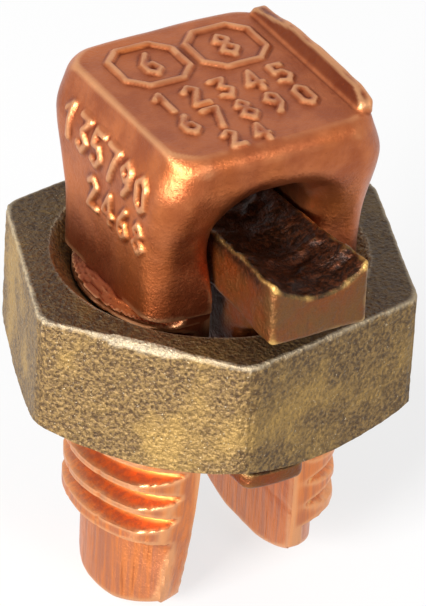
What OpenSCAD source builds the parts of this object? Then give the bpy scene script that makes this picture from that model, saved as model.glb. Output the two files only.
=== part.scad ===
// Split bolt connector: a forged copper bolt with a slot between two threaded legs,
// a hexagon nut, and a pressure bar that swivels in the nut and rides in the slot.
// Z is the bolt's axis, Y is the way the wires run, and the longer leg ends at z = 0.

/* [Thread] */
// Outside diameter of the thread on the legs
thread_d = 12.6; // [12.2:0.1:13]
// Distance from one crest to the next
thread_pitch = 1.27; // [1.1:0.01:1.5]
// Depth of the thread groove
thread_depth = 0.84; // [0.5:0.01:0.9]
// Width of the flat crest
crest_w = 0.3; // [0.2:0.01:0.4]
// Width of the flat at the groove's root
root_w = 0.13; // [0.1:0.01:0.2]

/* [Legs] */
// Width of the slot between the legs
slot_w = 5; // [4.8:0.1:5.4]
// Depth of each leg at the slot, along the wires
leg_d = 8.8; // [8:0.1:9.4]
// Width of the flat strip beside the slot on the front and back of each leg
leg_strip_w = 0.5; // [0.4:0.1:1]
// Radius that blends this strip into the round of the thread
leg_corner_r = 3.1; // [2.8:0.1:3.4]
// Diameter of the plain pilot below the thread
pilot_d = 10.7; // [10:0.1:11]
// Length of the plain pilot on the longer leg
pilot_len = 4.4; // [3.4:0.1:5]
// Height of the thread's lower end, where it climbs out of the pilot
run_out = 0.35; // [0.2:0.05:0.5]
// Width of the unbroken band between the pilot and the first groove
first_band_w = 0.5; // [0.4:0.01:0.9]
// How much lower the thread starts on the shorter leg
thread_lead = 0.5; // [0:0.1:0.6]
// How much shorter the leg on the +X side is
leg_step = 1.1; // [0:0.1:1.5]
// Radius of the arched leg ends
leg_end_r = 8.3; // [7:0.1:12]
// Width of the flat spot in the middle of each leg end
leg_end_flat = 2.6; // [1:0.1:4]
// Radius of the curve by which the front and back of the -X leg draw in towards its end
leg_taper_r = 45; // [40:1:80]
// Height of that curve's widest place, out of sight inside the nut
leg_taper_z = 12.2; // [11:0.1:14]
// Depth of the leg at that place, if the curve went that far
leg_taper_d = 9.1; // [9:0.1:9.6]

/* [Head] */
// Height of the shoulder where the thread stops and the arms begin
shoulder_z = 16.8; // [15:0.1:18]
// Height of the head above the shoulder
head_h = 9.1; // [8.8:0.1:10]
// Width across the outer faces of the arms
head_w = 11.2; // [11:0.1:11.8]
// Width of the stamped top face
head_top_w = 10.3; // [9.6:0.1:11]
// How far the outer faces swell out below the stamped top
head_swell = 0.22; // [0:0.01:0.4]
// Height above the shoulder where the outer faces start to lean in
lean_h = 6.6; // [5:0.1:7.5]
// Depth of the arms at the shoulder, along the wires
head_d = 9.2; // [8.8:0.1:9.6]
// Depth of the head at its stamped top edge
head_top_d = 11.9; // [10:0.1:12.4]
// Height above the shoulder where the ends start to spread
spread_h = 2.4; // [1:0.1:4]
// Height over which they spread to the full depth
spread_rise = 5; // [4:0.1:6.6]
// How far the end faces bow out in the middle
end_bow = 0.25; // [0:0.05:0.5]
// Radius of the head's upright corners at the shoulder
low_corner_r = 1; // [0.6:0.1:1.6]
// Radius of the head's upright corners at the stamped top
top_corner_r = 1.6; // [1:0.1:2.4]
// Height of the arch's crown above the shoulder
arch_h = 6.1; // [5.4:0.1:6.6]
// Radius of the arch's inner corners
arch_r = 1.9; // [1:0.1:2.4]
// Radius of the rolled edges of the arch
roll_r = 1.5; // [0.6:0.1:1.8]
// Part of the arch's height over which that radius grows to its full size
roll_grows = 0.67; // [0.4:0.01:1]
// Height of the pressed-up rim along the +X edge of the top face
rim_h = 0.6; // [0.2:0.05:0.8]
// Width of that rim at its foot
rim_w = 0.5; // [0.4:0.05:1]
// Width of that rim along its crest
rim_crest_w = 0.25; // [0.1:0.05:0.4]
// Height of that rim at its two ends
rim_end_h = 0.3; // [0.1:0.05:0.5]

/* [Nut] */
// Width across the nut's flats
nut_af = 17.46; // [17:0.01:19]
// Height of the nut
nut_h = 6.6; // [5.5:0.1:8]
// Height of the nut's top face as the connector is shown
nut_top_z = 16.9; // [14:0.1:17]
// Angle of one nut corner about the bolt
nut_turn = 10.7; // [-30:0.1:30]
// Diameter of the plain bore that stands for the internal thread
bore_d = 12.7; // [12.3:0.1:13.2]
// Diameter of the countersink on the top face
sink_d = 14.6; // [14:0.1:15.5]
// Depth of the countersink
sink_h = 0.95; // [0.5:0.05:1.4]
// Diameter of the flat ring left on the bottom face where its corners are rounded off
ring_d = 16.6; // [15:0.1:17.4]
// Radius of the shallow dome that rounds them off
dome_r = 17.8; // [12:0.1:30]

/* [Pressure bar] */
// Width of the bar across the slot
bar_w = 4.7; // [4.2:0.1:4.7]
// Length of the bar along the wires
bar_len = 19.3; // [16:0.1:19.4]
// Gap between the nut's top face and the underside of the bar
bar_gap = 1.2; // [0.5:0.1:2]
// Height of the bar at its ends, from underside to rim
bar_h = 3.2; // [2.6:0.1:3.4]
// How much lower the rims are halfway along the bar
bar_sway = 0.8; // [0:0.1:1.2]
// Depth of the wire groove in the top of the bar
groove_depth = 1.35; // [0.8:0.05:1.8]
// Width of the stem that passes through the nut
stem_w = 3.2; // [3:0.1:4.4]
// Radius of the stem's upright corners
stem_corner_r = 0.7; // [0.3:0.1:1.2]
// Diameter of the round ends of the stem inside the nut
stem_d = 12.4; // [12:0.1:12.6]
// Diameter of the lip that is peened out below the nut
lip_d = 13.9; // [13:0.1:14.4]
// Distance from the nut's bottom face down to the stem's end
lip_drop = 2.2; // [1.6:0.1:2.4]
// Thickness of the lip at its edge
lip_h = 0.8; // [0.6:0.1:1]

/* [Hidden] */
COPPER = [0.72, 0.43, 0.32];
BRONZE = [0.46, 0.37, 0.22];
PATINA = [0.33, 0.23, 0.14];
EPS = 0.01;
thread_r = thread_d / 2;
pilot_r = pilot_d / 2;
slot_x = slot_w / 2;
nut_bottom_z = nut_top_z - nut_h;
bar_z = nut_top_z + bar_gap;
flank_w = (thread_pitch - crest_w - root_w) / 2;
head_top_z = shoulder_z + head_h;
seat_gap = 0.45;
CORNER_STEPS = 6;
SIDE_STEPS = 4;
STRAIGHT_STEPS = 4;
ROLL_STEP = 13;
ROLL_MEETS = 70;
ROLL_END = 6 * ROLL_STEP;
HEAD_LEVELS = 12;
SHARPEST_ROLL = 0.02;
RIM_SINK = 0.3;
RIM_INSET = 0.05;
RIM_SLOPE = 0.1;
RIM_RUN = 0.9;

// A closed solid through rings of points that all have the same count.
module skin(rings) {
    n = len(rings[0]);
    last = len(rings) - 1;
    points = [for (ring = rings) for (p = ring) p];
    sides = [
        for (k = [0 : last - 1]) for (i = [0 : n - 1])
            let (a = k * n + i, b = k * n + (i + 1) % n)
            for (f = [[a, a + n, b + n], [a, b + n, b]]) f
    ];
    bottom = [[for (i = [0 : n - 1]) i]];
    top = [[for (i = [n - 1 : -1 : 0]) last * n + i]];
    polyhedron(points, concat(sides, bottom, top), convexity = 6);
}

function mix(a, b, t) = a + (b - a) * t;
function smooth(t) = let (u = max(0, min(1, t))) u * u * (3 - 2 * u);

// How far the head has gone from its shoulder sizes to its top sizes, from 0 to 1.
function lean(h) = smooth((h - lean_h) / (head_h - lean_h));
function spread(h) = smooth((h - spread_h) / spread_rise);

// Half sizes and corner radius of the head at a height above the shoulder.
function swell(h) = head_swell * (smooth(h / lean_h) - lean(h));
function head_x(h) = mix(head_w, head_top_w, lean(h)) / 2 + swell(h);
function head_y(h) = mix(head_d, head_top_d, spread(h)) / 2;
function head_corner_r(h) = mix(low_corner_r, top_corner_r, spread(h));

// One ring of the head: a rectangle with round corners and bowed ends.
function head_ring(h) =
    let (x = head_x(h), y = head_y(h), r = head_corner_r(h))
    [
        for (q = [0 : 3])
            let (
                sx = (q == 0 || q == 3) ? 1 : -1,
                sy = (q < 2) ? 1 : -1,
                cy = y - end_bow - r
            )
            for (i = [0 : CORNER_STEPS + (q % 2 == 0 ? SIDE_STEPS : 0)])
                (i <= CORNER_STEPS)
                ? let (a = q * 90 + i * 90 / CORNER_STEPS)
                    [sx * (x - r) + r * cos(a), sy * cy + r * sin(a), shoulder_z + h]
                : let (t = (i - CORNER_STEPS) / (SIDE_STEPS + 1), u = 1 - 2 * t)
                    [sx * (x - r) * u, sy * (y - end_bow * u * u), shoulder_z + h]
    ];

module head_block() {
    skin([for (i = [0 : HEAD_LEVELS]) head_ring(head_h * sin(i * 90 / HEAD_LEVELS))]);
}

// One half of the arch's outline, from the foot of the +X arm to the middle of the crown.
// Each point has its x and height, then the direction in which its edge rolls away.
function half_arch() =
    let (crown = arch_h - arch_r, flat = slot_x - arch_r)
    concat(
        [for (i = [-1 : STRAIGHT_STEPS - 1]) [slot_x, crown * i / STRAIGHT_STEPS, 1, 0]],
        [
            for (i = [0 : CORNER_STEPS])
                let (a = i * 90 / CORNER_STEPS)
                [flat + arch_r * cos(a), crown + arch_r * sin(a), cos(a), sin(a)]
        ]
    );

function arch_points() =
    let (half = half_arch(), last = len(half) - 1)
    concat(
        [for (p = half) [-p[0], p[1], -p[2], p[3]]],
        [for (i = [last : -1 : 0]) half[i]]
    );

// Where the head's end face lies, at x and at a height above the shoulder.
function end_y(x, h) = head_y(h) - end_bow * pow(min(1, abs(x) / head_x(h)), 2);

// Radius of the arch's rolled edge: next to nothing at the foot, full under the crown.
function roll_at(h) = roll_r * max(SHARPEST_ROLL, smooth(h / (roll_grows * arch_h)));

// One ring of the arch's cutter, where its edge has rolled through an angle. The roll
// meets the end face at ROLL_MEETS, and the last ring lies at y_out, clear of the head.
function arch_ring(side, angle, y_out = 0) =
    [
        for (p = arch_points())
            let (
                r = roll_at(p[1]),
                e = r * (1 - cos(angle)),
                x = p[0] + p[2] * e,
                h = p[1] + p[3] * e,
                y = end_y(x, h) + r * (sin(angle) - sin(ROLL_MEETS))
            )
            [x, side * (y_out > 0 ? y_out : y), shoulder_z + h]
    ];

module arch_cutter() {
    y_out = head_top_d / 2 + 1;
    skin(concat(
        [arch_ring(-1, ROLL_END, y_out)],
        [for (a = [ROLL_END : -ROLL_STEP : 0]) arch_ring(-1, a)],
        [for (a = [0 : ROLL_STEP : ROLL_END]) arch_ring(1, a)],
        [arch_ring(1, ROLL_END, y_out)]
    ));
}

// The pressed-up rim along the +X edge of the stamped top, low at both of its ends.
module top_rim() {
    edge = head_top_w / 2 - RIM_INSET;
    reach = head_top_d / 2 - top_corner_r;
    skin([
        for (t = [1, RIM_RUN, -RIM_RUN, -1])
            let (h = abs(t) < 1 ? rim_h : rim_end_h)
            [
                [edge - rim_w, t * reach, head_top_z - RIM_SINK],
                [edge, t * reach, head_top_z - RIM_SINK],
                [edge - RIM_SLOPE, t * reach, head_top_z + h],
                [edge - RIM_SLOPE - rim_crest_w, t * reach, head_top_z + h]
            ]
    ]);
}

// Turned outline of a leg: pilot, run-out and thread grooves up to the shoulder. Half a
// turn round, the grooves lie half a pitch lower.
module leg_outline(side) {
    root_r = thread_r - thread_depth;
    pilot_top = side > 0 ? pilot_len - thread_lead : pilot_len;
    left_groove_z = pilot_len + first_band_w;
    first_groove_z = side > 0 ? left_groove_z - thread_pitch / 2 : left_groove_z;
    turns = floor((shoulder_z - first_groove_z) / thread_pitch);
    groove = [
        [thread_r, 0],
        [root_r, flank_w],
        [root_r, flank_w + root_w],
        [thread_r, 2 * flank_w + root_w]
    ];
    grooves = [
        for (i = [0 : turns - 1]) for (p = groove)
            [p[0], first_groove_z + i * thread_pitch + p[1]]
    ];
    polygon(concat(
        [[0, 0], [pilot_r, 0], [pilot_r, pilot_top - run_out], [thread_r, pilot_top]],
        grooves,
        [[thread_r, shoulder_z], [0, shoulder_z]]
    ));
}

// What is left between two wide arcs that draw in below height leg_taper_z.
module taper_outline() {
    intersection_for(side = [-1, 1])
        translate([side * (leg_taper_r - leg_taper_d / 2), leg_taper_z])
            circle(r = leg_taper_r, $fn = 96);
    translate([-leg_taper_d / 2, leg_taper_z]) square([leg_taper_d, shoulder_z]);
}

// Side outline of a leg: straight, with an arched end that has a small flat spot.
module leg_side(end_z) {
    centre_z = end_z + sqrt(leg_end_r * leg_end_r - leg_end_flat * leg_end_flat / 4);
    intersection() {
        translate([-leg_end_r, end_z]) square([2 * leg_end_r, shoulder_z - end_z]);
        union() {
            translate([0, centre_z]) circle(r = leg_end_r, $fn = 96);
            translate([-leg_end_r, centre_z]) square([2 * leg_end_r, shoulder_z]);
        }
    }
}

// Plan of the -X leg's blank before turning: two flat strips and two round corners.
module leg_plan() {
    corner_y = leg_d / 2 - leg_corner_r;
    translate([-slot_x - leg_strip_w, -leg_d / 2]) square([leg_strip_w, leg_d]);
    translate([-slot_x - thread_d, -corner_y]) square([thread_d, 2 * corner_y]);
    intersection() {
        for (y = [-corner_y, corner_y])
            translate([-slot_x - leg_strip_w, y]) circle(r = leg_corner_r, $fn = 96);
        translate([-slot_x - thread_d, -leg_d]) square([thread_d, 2 * leg_d]);
    }
}

// One leg: the turned outline, inside the blank's plan and the leg's side outline.
module leg(side, end_z) {
    intersection() {
        rotate_extrude($fn = 96) leg_outline(side);
        mirror([side > 0 ? 1 : 0, 0, 0]) linear_extrude(shoulder_z) leg_plan();
        rotate([90, 0, 90])
            translate([0, 0, side > 0 ? slot_x : -slot_x - thread_d])
                linear_extrude(thread_d)
                    intersection() {
                        leg_side(end_z);
                        if (side < 0) taper_outline();
                        else translate([-thread_d, 0]) square(2 * thread_d);
                    }
    }
}

module bolt_body() {
    color(COPPER) {
        difference() {
            union() {
                head_block();
                top_rim();
            }
            arch_cutter();
        }
        leg(-1, 0);
        leg(1, leg_step);
    }
}

// Hexagon with sharp top edges, a bottom with its corners rounded off and a countersunk bore.
module hex_nut() {
    corner_r = nut_af / sqrt(3);
    dome_z = sqrt(dome_r * dome_r - ring_d * ring_d / 4);
    color(BRONZE)
        translate([0, 0, nut_bottom_z])
            difference() {
                intersection() {
                    rotate([0, 0, nut_turn]) cylinder(h = nut_h, r = corner_r, $fn = 6);
                    translate([0, 0, dome_z]) sphere(r = dome_r, $fn = 192);
                }
                translate([0, 0, -1]) cylinder(h = nut_h + 2, r = bore_d / 2, $fn = 96);
                translate([0, 0, nut_h - sink_h])
                    cylinder(h = sink_h + EPS, r1 = bore_d / 2, r2 = sink_d / 2 + EPS, $fn = 96);
                translate([0, 0, -EPS])
                    cylinder(h = sink_h / 2, r1 = bore_d / 2 + sink_h / 2, r2 = bore_d / 2, $fn = 96);
            }
}

// Front outline of the bar: flat underside, upright sides and the round wire groove.
module bar_end_outline() {
    half = bar_w / 2;
    wire_r = (half * half + groove_depth * groove_depth) / (2 * groove_depth);
    difference() {
        translate([-half, 0]) square([bar_w, bar_h]);
        translate([0, bar_h - groove_depth + wire_r]) circle(r = wire_r, $fn = 96);
    }
}

// Plan of the stem: a slab with round corners.
module stem_plan() {
    length = lip_d + EPS;
    square([stem_w - 2 * stem_corner_r, length], center = true);
    square([stem_w, length - 2 * stem_corner_r], center = true);
    for (x = [-1, 1], y = [-1, 1])
        translate([x * (stem_w / 2 - stem_corner_r), y * (length / 2 - stem_corner_r)])
            circle(r = stem_corner_r, $fn = 32);
}

// Turned outline of the stem: conical seat in the countersink, round shank, peened lip.
module stem_outline() {
    stem_r = stem_d / 2;
    lip_r = lip_d / 2;
    seat_r = sink_d / 2 - seat_gap;
    foot_z = nut_bottom_z - lip_drop;
    polygon([
        [0, bar_z + EPS],
        [0, foot_z],
        [lip_r - lip_h / 2, foot_z],
        [lip_r, foot_z + lip_h / 2],
        [lip_r, foot_z + lip_h],
        [stem_r, foot_z + lip_h + (lip_r - stem_r) / 2],
        [stem_r, nut_top_z - sink_h],
        [seat_r, nut_top_z - sink_h + seat_r - stem_r],
        [seat_r, bar_z + EPS]
    ]);
}

module pressure_bar() {
    sway_r = (bar_len * bar_len / 4 + bar_sway * bar_sway) / (2 * bar_sway);
    color(PATINA) {
        // The bar itself, with rims that sink towards the middle.
        difference() {
            translate([0, bar_len / 2, bar_z])
                rotate([90, 0, 0])
                    linear_extrude(bar_len) bar_end_outline();
            translate([-bar_w, 0, bar_z + bar_h - bar_sway + sway_r])
                rotate([0, 90, 0]) cylinder(h = 2 * bar_w, r = sway_r, $fn = 96);
        }
        intersection() {
            rotate_extrude($fn = 96) stem_outline();
            linear_extrude(bar_z + 1) stem_plan();
        }
    }
}

bolt_body();
hex_nut();
pressure_bar();
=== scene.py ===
# Split bolt connector: a forged copper bolt with a slot between two threaded legs, a cast
# bronze hexagon nut, and the pressure bar that swivels in the nut. Lengths are in
# millimetres until a mesh is made, and angles are in radians unless a name says degrees.
import math

import bpy
import numpy as np
from mathutils import Matrix, Vector


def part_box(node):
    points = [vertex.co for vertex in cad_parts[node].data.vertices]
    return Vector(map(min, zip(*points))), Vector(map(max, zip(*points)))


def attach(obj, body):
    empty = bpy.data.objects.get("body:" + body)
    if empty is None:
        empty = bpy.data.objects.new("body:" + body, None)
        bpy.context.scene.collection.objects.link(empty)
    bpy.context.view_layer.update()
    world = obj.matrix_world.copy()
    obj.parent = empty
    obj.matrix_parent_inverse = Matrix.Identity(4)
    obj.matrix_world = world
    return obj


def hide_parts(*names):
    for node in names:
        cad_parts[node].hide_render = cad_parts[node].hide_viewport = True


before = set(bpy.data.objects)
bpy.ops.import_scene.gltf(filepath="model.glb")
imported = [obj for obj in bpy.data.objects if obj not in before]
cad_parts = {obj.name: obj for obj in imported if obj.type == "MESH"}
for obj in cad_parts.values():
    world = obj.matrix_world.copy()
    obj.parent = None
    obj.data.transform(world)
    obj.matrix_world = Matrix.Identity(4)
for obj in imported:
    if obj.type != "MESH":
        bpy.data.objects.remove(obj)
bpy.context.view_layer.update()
MM = 0.001


def node_box(node):
    low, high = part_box(node)
    return np.array(low) / MM, np.array(high) / MM


nut_low, nut_high = node_box("hex_nut")
bar_low, bar_high = node_box("pressure_bar")

# ---------------------------------------------------------------- sizes of the pieces
# Most of these sizes are the CAD source's, given again. The stem is slimmer here, so that
# it clears the thread inside the nut.
# The thread and the two legs. The +X leg ends higher, and its pilot is shorter.
THREAD_R = 6.3
THREAD_PITCH = 1.27
THREAD_DEPTH = 0.84
GROOVE_HALF_W = 0.485
GROOVE_ROOT_HALF_W = 0.1
LEFT_GROOVE_Z = 5.39
PILOT_R = 5.35
LEFT_PILOT_TOP = 4.4
RIGHT_PILOT_TOP = 3.9
SLOT_X = 2.5
LEG_Y = 4.4
LEG_STRIP_W = 0.5
LEG_CORNER_R = 3.1
LEG_END_R = 8.3
LEG_END_FLAT = 1.3
RIGHT_LEG_Z = 1.1
TAPER_R = 45.0
TAPER_Z = 12.2
TAPER_Y = 4.55
TAPER_SLANT = 0.33

# The head, the arched slot under it and the pressed-up rim.
SHOULDER_Z = nut_high[2] - 0.1
HEAD_H = 9.1
HEAD_TOP_Z = SHOULDER_Z + HEAD_H
LEDGE_DROP = 0.42
ARCH_H = 6.1
ARCH_R = 1.9
ROLL_R = 1.35
RIM_H = 0.6

# The nut as it stands at rest.
NUT_TURN = math.radians(10.7)
NUT_IN_R = 8.73
NUT_H = nut_high[2] - nut_low[2]
NUT_BORE_R = 6.35
NUT_THREAD_R = 5.62
NUT_SINK_R = 7.3
NUT_SINK_H = 0.95
NUT_RING_R = 8.3
NUT_DOME_R = 17.8

# The pressure bar, the stem under it and the lip at the stem's foot.
BAR_W = 4.7
BAR_Z = nut_high[2] + 1.2
BAR_END_H = 3.2
BAR_SWAY = 0.8
BAR_HALF_LEN = 9.65
GROOVE_DEPTH = 1.35
BAR_FLARE = 0.18
BAR_BELLY = 0.25
STEM_W = 3.2
STEM_R = 5.55
STEM_FOOT_Z = bar_low[2]
LIP_R = 6.95
LIP_H = 0.8
SEAT_R = 6.85


# ---------------------------------------------------------------- shape arithmetic
def mix(a, b, t):
    return a + (b - a) * t


def smooth(t):
    u = np.clip(t, 0.0, 1.0)
    return u * u * (3.0 - 2.0 * u)


def round_max(a, b, r):
    """The larger of two fields, with the edge where they meet rounded to radius r."""
    return np.minimum(np.maximum(a, b), -r) + np.hypot(
        np.maximum(a + r, 0.0), np.maximum(b + r, 0.0)
    )


def round_min(a, b, r):
    return -round_max(-a, -b, r)


class Lumps:
    """Smooth value noise from -1 to 1, with lumps of a given size in millimetres."""

    SIDE = 32

    def __init__(self, seed, size):
        side = self.SIDE
        self.size = size
        self.lattice = np.random.default_rng(seed).uniform(-1.0, 1.0, (side, side, side))

    def __call__(self, x, y, z):
        total = 0.0
        cell, part = [], []
        for value in (x, y, z):
            scaled = np.asarray(value, float) / self.size + 7.3
            low = np.floor(scaled)
            cell.append(low.astype(int))
            part.append(smooth(scaled - low))
        for step in range(8):
            bits = (step & 1, step >> 1 & 1, step >> 2 & 1)
            weight = 1.0
            for share, bit in zip(part, bits):
                weight = weight * (share if bit else 1.0 - share)
            index = tuple((c + bit) % self.SIDE for c, bit in zip(cell, bits))
            total = total + weight * self.lattice[index]
        return total


def surface_net(field, low, high, step):
    """Closed quad mesh on the zero surface of a field, inside a box on a regular grid."""
    low = np.array(low, float)
    count = [int(math.ceil((h - l) / step)) + 1 for l, h in zip(low, high)]
    lines = [low[i] + step * np.arange(count[i]) for i in range(3)]
    value = field(*np.meshgrid(*lines, indexing="ij"))
    inside = value < 0.0
    cells = tuple(n - 1 for n in count)

    def corner(array, bits):
        cut = tuple(slice(b, b + n) for b, n in zip(bits, cells))
        return array[cut]

    corners = [(i, j, k) for i in (0, 1) for j in (0, 1) for k in (0, 1)]
    full = sum(corner(inside, bits).astype(np.int8) for bits in corners)
    active = (full > 0) & (full < 8)
    where = np.argwhere(active)
    ids = np.full(cells, -1)
    ids[active] = np.arange(len(where))
    sums = np.zeros((len(where), 3))
    hits = np.zeros(len(where))
    for a in corners:
        for axis in range(3):
            if a[axis]:
                continue
            b = tuple(1 if i == axis else v for i, v in enumerate(a))
            va, vb = corner(value, a)[active], corner(value, b)[active]
            cross = (va < 0.0) != (vb < 0.0)
            t = np.where(cross, va / np.where(cross, va - vb, 1.0), 0.0)
            point = np.array(a, float) + t[:, None] * (np.array(b) - np.array(a))
            sums += point * cross[:, None]
            hits += cross
    points = low + step * (where + sums / hits[:, None])
    quads = []
    for axis in range(3):
        u, v = (axis + 1) % 3, (axis + 2) % 3
        first = [slice(1, n - 1) for n in count]
        second = list(first)
        first[axis] = slice(0, count[axis] - 1)
        second[axis] = slice(1, count[axis])
        a, b = inside[tuple(first)], inside[tuple(second)]
        for flip, crossing in ((False, a & ~b), (True, ~a & b)):
            at = np.argwhere(crossing) + np.array([0 if i == axis else 1 for i in range(3)])
            ring = []
            for du, dv in ((-1, -1), (0, -1), (0, 0), (-1, 0)):
                cell = at.copy()
                cell[:, u] += du
                cell[:, v] += dv
                ring.append(ids[cell[:, 0], cell[:, 1], cell[:, 2]])
            quads.append(np.stack(ring[::-1] if flip else ring, 1))
    points = settle(field, points, step)
    return points, np.concatenate(quads)


SETTLE_ROUNDS = 3


def settle(field, points, step):
    """Moves the points onto the field's zero surface, along its slope."""
    reach = 0.25 * step
    for _ in range(SETTLE_ROUNDS):
        here = field(*points.T)
        slope = np.stack(
            [
                field(*(points + offset).T) - field(*(points - offset).T)
                for offset in np.eye(3) * reach
            ],
            1,
        ) / (2.0 * reach)
        length = np.maximum((slope**2).sum(1), 0.25)
        move = -slope * (here / length)[:, None]
        size = np.linalg.norm(move, axis=1)
        held = np.minimum(1.0, 0.4 * step / np.maximum(size, 1e-9))
        points = points + move * held[:, None]
    return points


def closed_grid(rings):
    """Quads of a mesh through rings of equal length, each given as an array of points."""
    count = len(rings[0])
    points = np.concatenate(rings)
    faces = []
    around = np.arange(count)
    after = (around + 1) % count
    for k in range(len(rings) - 1):
        a, b = k * count, (k + 1) * count
        faces.append(np.stack([a + around, a + after, b + after, b + around], 1))
    return points, np.concatenate(faces)


def add_object(name, points, faces, smooth_angle=40.0):
    mesh = bpy.data.meshes.new(name)
    mesh.from_pydata((np.asarray(points) * MM).tolist(), [], [list(map(int, f)) for f in faces])
    mesh.validate()
    mesh.polygons.foreach_set("use_smooth", [True] * len(mesh.polygons))
    mesh.set_sharp_from_angle(angle=math.radians(smooth_angle))
    mesh.update()
    piece = bpy.data.objects.new(name, mesh)
    bpy.context.scene.collection.objects.link(piece)
    return piece


# ---------------------------------------------------------------- plain raised numbers
DIGITS = {
    "0": [[(0.1, 0.2), (0.3, 0.0), (0.5, 0.2), (0.5, 0.8), (0.3, 1.0), (0.1, 0.8), (0.1, 0.2)]],
    "1": [[(0.12, 0.78), (0.32, 1.0), (0.32, 0.0)]],
    "2": [[(0.08, 0.8), (0.3, 1.0), (0.52, 0.78), (0.08, 0.0), (0.54, 0.0)]],
    "3": [[(0.08, 1.0), (0.5, 1.0), (0.26, 0.6), (0.52, 0.34), (0.3, 0.0), (0.06, 0.12)]],
    "4": [[(0.42, 0.0), (0.42, 1.0), (0.05, 0.3), (0.56, 0.3)]],
    "5": [[(0.5, 1.0), (0.12, 1.0), (0.1, 0.58), (0.36, 0.6), (0.52, 0.3), (0.3, 0.0), (0.06, 0.1)]],
    "6": [[(0.45, 1.0), (0.12, 0.5), (0.12, 0.18), (0.3, 0.0), (0.5, 0.2), (0.4, 0.5), (0.14, 0.42)]],
    "7": [[(0.06, 1.0), (0.54, 1.0), (0.22, 0.0)]],
    "8": [
        [(0.3, 0.54), (0.12, 0.76), (0.3, 1.0), (0.48, 0.76), (0.3, 0.54)],
        [(0.3, 0.54), (0.08, 0.26), (0.3, 0.0), (0.52, 0.26), (0.3, 0.54)],
    ],
    "9": [[(0.46, 0.6), (0.28, 0.46), (0.1, 0.72), (0.28, 1.0), (0.48, 0.84), (0.46, 0.4), (0.2, 0.0)]],
}
DIGIT_W = 0.62


def number_strokes(text, centre, height, pitch, tilt_degrees=0.0):
    """Straight strokes of a row of digits about a centre, as pairs of points."""
    strokes = []
    angle = math.radians(tilt_degrees)
    for i, digit in enumerate(text):
        left = (i - (len(text) - 1) / 2) * pitch - DIGIT_W * height / 2
        for line in DIGITS[digit]:
            spots = []
            for px, py in line:
                u, v = left + px * height, (py - 0.5) * height
                spots.append(
                    (
                        centre[0] + u * math.cos(angle) - v * math.sin(angle),
                        centre[1] + u * math.sin(angle) + v * math.cos(angle),
                    )
                )
            strokes += list(zip(spots[:-1], spots[1:]))
    return strokes


def frame_strokes(centre, side, cut):
    """A square frame with cut corners, as strokes."""
    half = side / 2
    corner = [
        (half, half - cut), (half - cut, half), (cut - half, half), (-half, half - cut),
        (-half, cut - half), (cut - half, -half), (half - cut, -half), (half, cut - half),
    ]
    spots = [(centre[0] + u, centre[1] + v) for u, v in corner]
    return list(zip(spots, spots[1:] + spots[:1]))


class Relief:
    """Raised strokes on a flat face, kept as a height over a fine grid of the face."""

    CELL = 0.04

    def __init__(self, low, high, strokes, width, height, soft):
        self.low = np.array(low, float)
        count = [int((h - l) / self.CELL) + 2 for l, h in zip(low, high)]
        u, v = np.meshgrid(
            *[self.low[i] + self.CELL * np.arange(count[i]) for i in (0, 1)], indexing="ij"
        )
        far = np.full(u.shape, 9.0)
        for (au, av), (bu, bv) in strokes:
            du, dv = bu - au, bv - av
            t = np.clip(((u - au) * du + (v - av) * dv) / (du * du + dv * dv), 0.0, 1.0)
            far = np.minimum(far, np.hypot(u - au - t * du, v - av - t * dv))
        self.map = height * (1.0 - smooth((far - width / 2 + soft / 2) / soft))

    def __call__(self, u, v):
        share = [(value - self.low[i]) / self.CELL for i, value in enumerate((u, v))]
        spot = [np.clip(s, 0, n - 1.001) for s, n in zip(share, self.map.shape)]
        cell = [s.astype(int) for s in spot]
        fu, fv = spot[0] - cell[0], spot[1] - cell[1]
        a, b = cell
        near = mix(self.map[a, b], self.map[a + 1, b], fu)
        away = mix(self.map[a, b + 1], self.map[a + 1, b + 1], fu)
        return mix(near, away, fv)


STROKE_W = 0.34
STROKE_H = 0.17
STROKE_SOFT = 0.2
top_numbers = Relief(
    (-5.2, -6.0),
    (5.2, 6.0),
    number_strokes("12345", (-0.1, -0.55), 1.45, 1.5)
    + number_strokes("67890", (-0.1, -2.6), 1.45, 1.5)
    + number_strokes("24", (-1.2, -4.5), 1.2, 1.4)
    + frame_strokes((-2.1, 2.7), 3.3, 0.8)
    + number_strokes("6", (-2.1, 2.7), 1.7, 1.5)
    + frame_strokes((1.9, 2.7), 3.3, 0.8)
    + number_strokes("8", (1.9, 2.7), 1.7, 1.5),
    STROKE_W,
    STROKE_H,
    STROKE_SOFT,
)
# On the -X face the first coordinate runs along -Y and the second up from the shoulder.
side_numbers = Relief(
    (-5.0, 0.5),
    (5.0, 8.8),
    number_strokes("135790", (0.1, 6.6), 1.7, 1.32, -3.0)
    + number_strokes("2468", (1.2, 4.15), 1.5, 1.35, -3.0),
    STROKE_W,
    STROKE_H,
    STROKE_SOFT,
)


# ---------------------------------------------------------------- the bolt's head
forging_waves = Lumps(3, 3.1)
forging_dents = Lumps(5, 1.1)
edge_ragged = Lumps(8, 0.9)

HEAD_FOOT_X, HEAD_TOP_X = 5.6, 5.15
HEAD_FOOT_Y, HEAD_TOP_Y = 4.6, 5.95
HEAD_FOOT_CORNER_R, HEAD_TOP_CORNER_R = 1.15, 1.6
HEAD_SWELL = 0.22
LEAN_FROM, LEAN_OVER = 6.6, 2.5
SPREAD_FROM, SPREAD_OVER = 2.4, 5.0
END_BOW = 0.25
SIDE_EDGE_R, END_EDGE_R = 0.2, 0.8
LEAST_ROLL = 0.05
RIM_IN_X, RIM_OUT_X = 4.4, 5.16
RIM_SLOPE = 0.75
RIM_HALF_LEN = 4.9
RIM_END_SHARE = 0.35
RIM_RAGGED = 0.07
RIM_ROOT_H = 0.4
LEDGE_ROOT_R, LEDGE_OVER = 5.55, 0.7
LEDGE_H = 0.5
WAVE_H, DENT_H = 0.05, 0.016
WAVES_FROM = 1.5


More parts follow.
